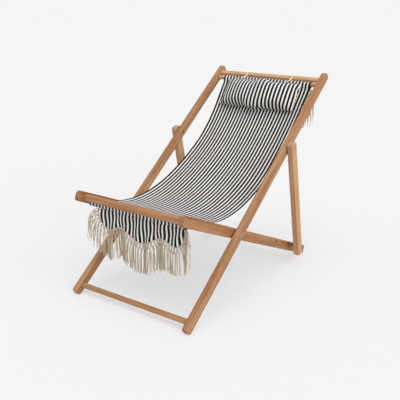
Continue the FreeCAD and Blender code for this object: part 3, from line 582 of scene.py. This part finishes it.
def hang_y(name, x, drop):
    """Front-to-rear place of the hanging cloth below its dowel, with folds that grow downwards."""
    phase = FOLD_PHASE[name]
    depth = min(1.0, FOLD_GROWTH * max(0.0, drop - FOLD_START) / FRINGE_FOOT)
    wide, narrow = (2 * math.pi * x / pitch for pitch in FOLD_PITCHES)
    waves = math.sin(wide + phase) + math.sin(narrow + 2 + 3 * phase)
    if name == "front":
        ahead = VALANCE_AWAY[name] + LEFT_AHEAD * smooth_step((LEFT_START - x) / LEFT_SPREAD)
        return LIP[0] - ahead + FOLD_DEPTH / 2 * depth * waves
    return HEAD[0] + VALANCE_AWAY[name] + FOLD_DEPTH / 2 * depth * waves


def dowel_of(name):
    return LIP if name == "front" else HEAD


def make_valance(name, material):
    """The scalloped flap, sewn to the far side of the cloth's pocket and hanging in soft folds."""
    verts, flat = [], []
    for row in range(VALANCE_ROWS):
        share = row / (VALANCE_ROWS - 1)
        for x in places_across(name, VALANCE_COLUMNS):
            drop = VALANCE_TOP[name] + (edge_drop(name, x) - VALANCE_TOP[name]) * share
            turn = 2 * math.pi * x / FOLD_PITCHES[0] + SWAY_PHASE + SWAY_TURN * share
            sway = SWAY_WIDTH * math.sin(math.pi * share) * math.sin(turn)
            verts.append((x + sway, hang_y(name, x, drop), dowel_of(name)[1] - drop))
            flat.append((x + STRIPE_PITCH / 3, drop))
    faces = grid_faces(VALANCE_ROWS, VALANCE_COLUMNS)
    valance = make_object(name + "_valance_cloth", verts, faces, flat, material)
    return thicken(valance, CLOTH_THICKNESS)


class Strands:
    """Round yarns gathered into one mesh, each with its own number in the UV."""

    def __init__(self):
        self.verts, self.faces, self.flat, self.count = [], [], [], 0

    def add(self, path, radius, out):
        """One yarn along a path of points, closed at both ends; out is the way to its outer side."""
        run, ahead = lengths(path), headings(path)
        out = out - ahead * np.sum(out * ahead, axis=1)[:, None]
        out /= np.linalg.norm(out, axis=1)[:, None]
        other = np.cross(ahead, out)
        first = len(self.verts)
        for point, near, far in zip(path, out, other):
            for corner in range(YARN_SIDES):
                angle = 2 * math.pi * corner / YARN_SIDES
                self.verts.append(point + radius * (math.cos(angle) * near + math.sin(angle) * far))
        for ring in range(len(path) - 1):
            here, there = first + ring * YARN_SIDES, first + (ring + 1) * YARN_SIDES
            start, end = run[ring], run[ring + 1]
            for corner in range(YARN_SIDES):
                after = (corner + 1) % YARN_SIDES
                self.faces.append((here + corner, there + corner, there + after, here + after))
                left = self.count + YARN_UV_SHARE * corner / YARN_SIDES
                right = self.count + YARN_UV_SHARE * (corner + 1) / YARN_SIDES
                self.flat.append([(left, start), (left, end), (right, end), (right, start)])
        last = first + (len(path) - 1) * YARN_SIDES
        self.faces.append(tuple(first + corner for corner in range(YARN_SIDES)))
        self.faces.append(tuple(last + corner for corner in reversed(range(YARN_SIDES))))
        self.flat += [[(self.count + 0.5, 0)] * YARN_SIDES, [(self.count + 0.5, run[-1])] * YARN_SIDES]
        self.count += 1

    def twist(self, path, radius, plies, phase):
        """A cord of yarns that wind round a path and touch each other."""
        path = resample(np.asarray(path, float), PLY_TURN / POINTS_IN_TURN)
        run, ahead = lengths(path), headings(path)
        side = np.cross(ahead, (0.0, 1.0, 0.0))
        side /= np.linalg.norm(side, axis=1)[:, None]
        other = np.cross(ahead, side)
        for ply in range(plies):
            angle = 2 * math.pi * (run / PLY_TURN + ply / plies) + phase
            out = np.cos(angle)[:, None] * side + np.sin(angle)[:, None] * other
            self.add(path + out * radius / math.sin(math.pi / plies), radius, out)


def make_fringe(name, material):
    """Cotton fringe: a cord along the scalloped edge, two rows of knots, then tufts of twisted cords."""
    chance = random.Random(name)
    strands = Strands()
    fine = np.array([(x, edge_drop(name, x)) for x in places_across(name, EDGE_POINTS)])
    edge = resample(fine, TUFT_PITCH)
    ahead, outward = headings(edge), normals(edge)
    base_z = dowel_of(name)[1]

    def fall(tuft, aside, distance):
        """Point on a tuft's fall, out from the edge and then down, at a step aside from its middle."""
        steep = SIDE_LEAN * outward[tuft][0] ** 2
        lean = outward[tuft] * steep + np.array([0, 1 - steep])
        lean /= np.linalg.norm(lean)
        room = FRINGE_REACH[name] - abs(edge[tuft][0])
        flare = min(FLARE_LENGTH, room / max(abs(lean[0]), LEAST_LEAN))
        early = flare * math.tanh(distance / flare)
        late = smooth_step(distance / (2 * SECOND_KNOT))
        way = ahead[tuft] * (1 - late) + np.array([1, 0]) * late
        return edge[tuft] + lean * early + np.array([0, distance - early]) + way * aside

    stops = (0, FIRST_KNOT, SECOND_KNOT, LOOSE_START, FRINGE_LENGTH)
    for tuft in range(len(edge)):
        trim = TRIM_SHARE * smooth_step((edge[tuft][0] - TRIM_START) / TRIM_SPREAD)
        for cord in range(TUFT_CORDS):
            root = (cord + 0.5) / TUFT_CORDS - 0.5
            half = 1 if root > 0 else -1
            # Every other cord goes over to the next tuft's knot
            target = half if cord % 2 and 0 <= tuft + half < len(edge) else 0
            spread = chance.uniform(-CORD_SPREAD, CORD_SPREAD)
            length = FRINGE_LENGTH * (1 - trim) + chance.uniform(*CORD_LENGTHS)
            layer = LAYER_DEPTH if cord % 2 else -LAYER_DEPTH
            layer += chance.uniform(-LAYER_SPREAD, LAYER_SPREAD)
            sway, phase = chance.uniform(*CORD_SWAYS), chance.uniform(*CORD_PHASES)
            knot = target * TUFT_PITCH
            asides = (root * TUFT_PITCH, half * (TUFT_PITCH / 2 - KNOT_GAP), knot + KNOT_WIDTH * root,
                      knot + LOOSE_SHARE * spread, knot + spread)
            path = []
            for step in range(CORD_STEPS + 1):
                distance = length * (step / CORD_STEPS) ** STEP_POWER
                x, drop = fall(tuft, np.interp(distance, stops, asides), distance)
                loose = sway * smooth_step(distance / FRINGE_LENGTH)
                x += loose * math.sin(SWAY_ACROSS * distance + phase)
                y = hang_y(name, x, drop) + layer + loose * math.cos(SWAY_AHEAD * distance + phase)
                path.append((x, y, base_z - drop))
            strands.twist(path, PLY_RADIUS, CORD_PLIES, phase)
    # A thicker cord covers the edge of the cloth
    path = []
    for (x, drop), (out_x, out_drop) in zip(fine, normals(fine)):
        z = base_z - drop - out_drop * EDGE_CORD_OUT
        path.append((x + out_x * EDGE_CORD_OUT, hang_y(name, x, drop), z))
    strands.twist(path, EDGE_PLY_RADIUS, EDGE_PLIES, 0.0)
    return make_object(name + "_fringe_yarn", strands.verts, strands.faces, strands.flat, material)


# Pillow and straps

def pillow_place():
    """Middle of the pillow's seam plane, the way down the cloth and the way out of it, in YZ."""
    start = RUN[-1] - PILLOW_DROP
    top, middle, low = (on_line(start - PILLOW_SIZE[1] * share) for share in (0, 0.5, 1))
    down = (low - top) / np.linalg.norm(low - top)
    out = np.array([down[1], -down[0]])
    bow = (top - middle) @ out
    lift = PILLOW_SIZE[2] / 4 + PILLOW_CLEARANCE - bow
    return top + out * lift + down * PILLOW_SIZE[1] / 2, down, out


def inflate(item, pressure, frames):
    """Blow the sewn bag up with a cloth simulation and keep the shape."""
    cloth = item.modifiers.new("stuffing", "CLOTH")
    settings = cloth.settings
    settings.quality = 6
    settings.mass = 0.25
    settings.tension_stiffness = settings.compression_stiffness = 25
    settings.shear_stiffness = 12
    settings.bending_stiffness = 0.6
    settings.use_pressure = True
    settings.uniform_pressure_force = pressure
    settings.effector_weights.gravity = 0
    cloth.collision_settings.use_collision = False
    cloth.point_cache.frame_start = 1
    cloth.point_cache.frame_end = frames
    for number in range(1, frames + 1):
        bpy.context.scene.frame_set(number)
    apply_modifiers(item)
    bpy.context.scene.frame_set(1)


def sew_bag():
    """Two panels joined at their border: vertices, UVs, faces, and vertex numbers by face, row and column."""
    verts, flat, faces, index = [], [], [], {}
    for face in (1, -1):
        for row in range(BAG_ROWS):
            for column in range(BAG_COLUMNS):
                if face < 0 and (row in (0, BAG_ROWS - 1) or column in (0, BAG_COLUMNS - 1)):
                    index[face, row, column] = index[1, row, column]
                    continue
                side, up = 2 * column / (BAG_COLUMNS - 1) - 1, 2 * row / (BAG_ROWS - 1) - 1
                crown = BAG_CROWN * (1 - side ** 4) * (1 - up ** 2)
                pucker = BAG_PUCKER * math.sin(37 * side + 3 * up) * math.cos(23 * up - 2 * side)
                index[face, row, column] = len(verts)
                verts.append((side * BAG_WIDTH / 2, up * BAG_HEIGHT / 2, face * crown + pucker))
                flat.append((side * BAG_WIDTH / 2, up * BAG_HEIGHT / 2))
        for row in range(BAG_ROWS - 1):
            for column in range(BAG_COLUMNS - 1):
                corners = ((row, column), (row, column + 1), (row + 1, column + 1), (row + 1, column))
                quad = [index[face, above, over] for above, over in corners]
                faces.append(tuple(quad if face > 0 else quad[::-1]))
    return verts, flat, faces, index


def even_out(points, index):
    """Draw the inner points of both panels to the middle of their neighbours, in small turns."""
    columns = range(BAG_COLUMNS)
    for face in (1, -1):
        grid = np.array([[index[face, row, column] for column in columns] for row in range(BAG_ROWS)])
        inner = grid[1:-1, 1:-1]
        for _ in range(SMOOTH_TURNS):
            around = points[grid[:-2, 1:-1]] + points[grid[2:, 1:-1]]
            around = around + points[grid[1:-1, :-2]] + points[grid[1:-1, 2:]]
            points[inner] = (points[inner] + around / 4) / 2


def straighten_seams(points, index):
    """Spread each column of the bag between two straight long seams, at -1 and 1."""
    for column in range(BAG_COLUMNS):
        low, high = points[index[1, 0, column], 1], points[index[1, BAG_ROWS - 1, column], 1]
        for number in {index[face, row, column] for face in (1, -1) for row in range(BAG_ROWS)}:
            points[number, 1] = 2 * (points[number, 1] - low) / (high - low) - 1


def make_pillow(material):
    """A stuffed striped bag, sewn all round, whose filling has sunk a little."""
    verts, flat, faces, index = sew_bag()
    pillow = make_object("head_pillow_cover", verts, faces, flat, material)
    inflate(pillow, STUFFING_PRESSURE, STUFFING_FRAMES)
    points = np.array([vertex.co for vertex in pillow.data.vertices])
    even_out(points, index)
    straighten_seams(points, index)
    points -= (points.min(0) + points.max(0)) / 2
    points *= np.array(PILLOW_SIZE) / (points.max(0) - points.min(0))
    middle, down, out = pillow_place()
    half = PILLOW_SIZE[2] / 2
    for vertex, (x, y, z) in zip(pillow.data.vertices, points):
        full = math.copysign(half * (abs(z) / half) ** PILLOW_FULLNESS, z)
        front = full * (FRONT_SHARE if z > 0 else BACK_SHARE)
        sunk = y - PILLOW_SAG * max(0.0, front) * (1 - (y / PILLOW_SIZE[1]) ** 2)
        place = middle - down * sunk + out * front
        vertex.co = (x, place[0], place[1])
    smooth = pillow.modifiers.new("smooth", "SUBSURF")
    smooth.levels = smooth.render_levels = 1
    return apply_modifiers(pillow)


def make_strap(name, side, material):
    """A cotton tape: round the top rail, over the front of the pocket and down to the pillow."""
    along = np.array([math.cos(BACK_ANGLE), math.sin(BACK_ANGLE)])
    out = np.array([-along[1], along[0]])
    corner = TOP_RAIL_ROUND + STRAP_GAP
    tall, deep = (section / 2 + STRAP_GAP for section in TOP_RAIL_SECTION)
    loop = []
    for way, up, start in ((1, 1, 90), (1, -1, 0), (-1, -1, -90), (-1, 1, 180)):
        for step in range(STRAP_CORNER_STEPS + 1):
            angle = math.radians(start - 90 * step / STRAP_CORNER_STEPS)
            rise = way * (tall - corner) + corner * math.cos(angle)
            reach = up * (deep - corner) + corner * math.sin(angle)
            loop.append(TOP + along * rise + out * reach)
    middle, down, face = pillow_place()
    seam = middle - down * (PILLOW_SIZE[1] / 2 - STRAP_SEAM_INSET) + face * STRAP_SEAM_LIFT
    pocket = HEAD + out * (POCKET_OUTSIDE + 2 * STRAP_GAP)
    path = loop + [TOP + out * (deep + STRAP_GAP), (TOP + pocket + out * STRAP_GAP) / 2, pocket, seam]
    path = resample(natural_spline(path, STRAP_POINTS), STRAP_SPACING)
    verts, flat = [], []
    for point, run in zip(path, lengths(path)):
        middle_x = side * STRAP_PLACE + STRAP_LEAN * ((point - HEAD) @ along)
        for column in range(STRAP_COLUMNS):
            share = column / (STRAP_COLUMNS - 1)
            verts.append((middle_x + (share - 0.5) * STRAP_WIDTH, point[0], point[1]))
            flat.append((STRAP_UV_WIDTH * share, run))
    strap = make_object(name, verts, grid_faces(len(path), STRAP_COLUMNS), flat, material)
    return thicken(strap, STRAP_THICKNESS)


# Assembly

def slot_of(node):
    return next(part["material_slot"] for part in frame["record"]["subparts"] if part["node"] == node)


def dress_frame():
    """Wood and steel for the CAD nodes that show."""
    turns = {"back_rail": BACK_ANGLE, "seat_rail": -SEAT_ANGLE, "prop_leg": PROP_ANGLE}
    # The prop legs' paler tone is partly painted light, for the light from the right on their outer faces;
    # the rest of these are each piece's own tone.
    paler = {"prop_leg": 0.38, "top_rail": 0.62, "head_dowel": 0.35, "foot_dowel": 0.15, "front_rail": 0.06,
             "back_rail_left": 0.03, "back_rail_right": 0.04, "seat_rail": -0.30}
    zinc = steel_material("yellow_zinc", *ZINC_SHADES)
    # The nuts get steel whose dark colours are painted shade.
    steel_in_painted_shade = steel_material("steel_in_painted_shade", *NUT_PAINTED_SHADE_COLOURS)
    for number, (name, item) in enumerate(sorted(nodes.items())):
        if slot_of(name) == "steel":
            chosen = steel_in_painted_shade if name.endswith("nuts") else zinc
        elif slot_of(name) == "wood":
            turn = next((value for start, value in turns.items() if name.startswith(start)), None)
            pale = next((value for start, value in paler.items() if name.startswith(start)), 0.0)
            # Each piece is cut from its own place in the wood
            offset = (0.31 * number, 1.7 * number, 0.13 * number)
            chosen = wood_material("wood_" + name, turn, offset, pale)
        else:
            continue
        item.data.materials.clear()
        item.data.materials.append(chosen)


def dress_soft_goods():
    """Sling, valances, fringes, pillow and straps in place of their CAD solids."""
    canvas, yarn = cloth_material("striped_canvas", black=0.67), yarn_material("cotton_yarn")
    sling, length = make_sling(cloth_material("hemmed_canvas", stitched_edge=SLING_HALF - STITCH_INSET))
    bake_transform(sling)
    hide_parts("sling")
    for name, body in (("front", "seat_frame"), ("rear", "back_frame")):
        valance, fringe = make_valance(name, canvas), make_fringe(name, yarn)
        for piece, kind, slot in ((valance, "_valance", "striped_cloth"), (fringe, "_fringe", "cotton")):
            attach(piece, body)
            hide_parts(name + kind)
    pillow = make_pillow(cloth_material("pillow_canvas", pitch=PILLOW_PITCH))
    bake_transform(pillow)
    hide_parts("head_pillow")
    for name, side in (("left", -1), ("right", 1)):
        strap = make_strap(f"pillow_strap_{name}_tape", side, yarn)
        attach(strap, "back_frame")
        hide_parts("pillow_strap_" + name)


def seen_directly(tree):
    """One for rays that show a surface to the camera, straight or by reflection, else nought."""
    rays = add(tree, "ShaderNodeLightPath").outputs
    mirrored = maths(tree, "MAXIMUM", rays["Is Glossy Ray"], rays["Is Transmission Ray"])
    return maths(tree, "MAXIMUM", rays["Is Camera Ray"], mirrored)


def make_floor():
    """Pale floor on which the shadow is as weak as in the photograph."""
    material, tree, shader = new_material("studio_floor")
    tree.nodes.remove(shader)
    diffuse = add(tree, "ShaderNodeBsdfDiffuse", {"Color": grey(FLOOR_SHADE)})
    glow = add(tree, "ShaderNodeEmission", {"Color": grey(BACKDROP_SHADE), "Strength": 1.0})
    share = maths(tree, "MULTIPLY", seen_directly(tree), FLOOR_GLOW_SHARE)
    both = add(tree, "ShaderNodeMixShader", {0: share, 1: diffuse.outputs[0], 2: glow.outputs[0]})
    output = next(item for item in tree.nodes if item.type == "OUTPUT_MATERIAL")
    tree.links.new(both.outputs[0], output.inputs[0])
    flat = [(x * FLOOR_REACH, y * FLOOR_REACH) for x, y in ((-1, -1), (1, -1), (1, 1), (-1, 1))]
    make_object("floor", [(*corner, 0) for corner in flat], [(0, 1, 2, 3)], flat, material)


def make_world():
    """Even light from all round; the backdrop shows pale grey."""
    world = bpy.data.worlds.new("studio")
    bpy.context.scene.world = world
    world.use_nodes = True
    tree = world.node_tree
    tree.nodes.clear()
    light = add(tree, "ShaderNodeBackground", {"Color": WHITE, "Strength": SKY_STRENGTH})
    backdrop = add(tree, "ShaderNodeBackground", {"Color": grey(BACKDROP_SHADE), "Strength": 1.0})
    inputs = {0: seen_directly(tree), 1: light.outputs[0], 2: backdrop.outputs[0]}
    chosen = add(tree, "ShaderNodeMixShader", inputs)
    output = add(tree, "ShaderNodeOutputWorld")
    tree.links.new(chosen.outputs[0], output.inputs[0])


def make_lamp(name, source, energy, softness):
    """A soft lamp far away, shining from a source direction."""
    light = bpy.data.lights.new(name, "SUN")
    light.energy = energy
    light.angle = math.radians(softness)
    lamp = bpy.data.objects.new(name, light)
    lamp.rotation_euler = Vector(source).to_track_quat("Z", "Y").to_euler()
    bpy.context.scene.collection.objects.link(lamp)


def make_camera():
    """The photograph's camera."""
    lens = bpy.data.cameras.new("camera")
    lens.sensor_width = CAMERA_SENSOR
    lens.lens = CAMERA_LENS
    camera = bpy.data.objects.new("camera", lens)
    yaw, pitch, roll = (math.radians(angle) for angle in (CAMERA_YAW, CAMERA_PITCH, CAMERA_ROLL))
    ahead = Vector((-math.sin(yaw) * math.cos(pitch), math.cos(yaw) * math.cos(pitch), -math.sin(pitch)))
    right = ahead.cross(Vector((0, 0, 1))).normalized()
    up = right.cross(ahead)
    right, up = math.cos(roll) * right + math.sin(roll) * up, math.cos(roll) * up - math.sin(roll) * right
    turn = Matrix((right, up, -ahead)).transposed().to_4x4()
    camera.matrix_world = Matrix.Translation(CAMERA_PLACE) @ turn
    bpy.context.scene.collection.objects.link(camera)
    bpy.context.scene.camera = camera


bpy.context.scene.view_settings.view_transform = "Standard"
dress_frame()
dress_soft_goods()
make_floor()
make_world()
for lamp_name, lamp_values in LAMPS.items():
    make_lamp(lamp_name, *lamp_values)
make_camera()
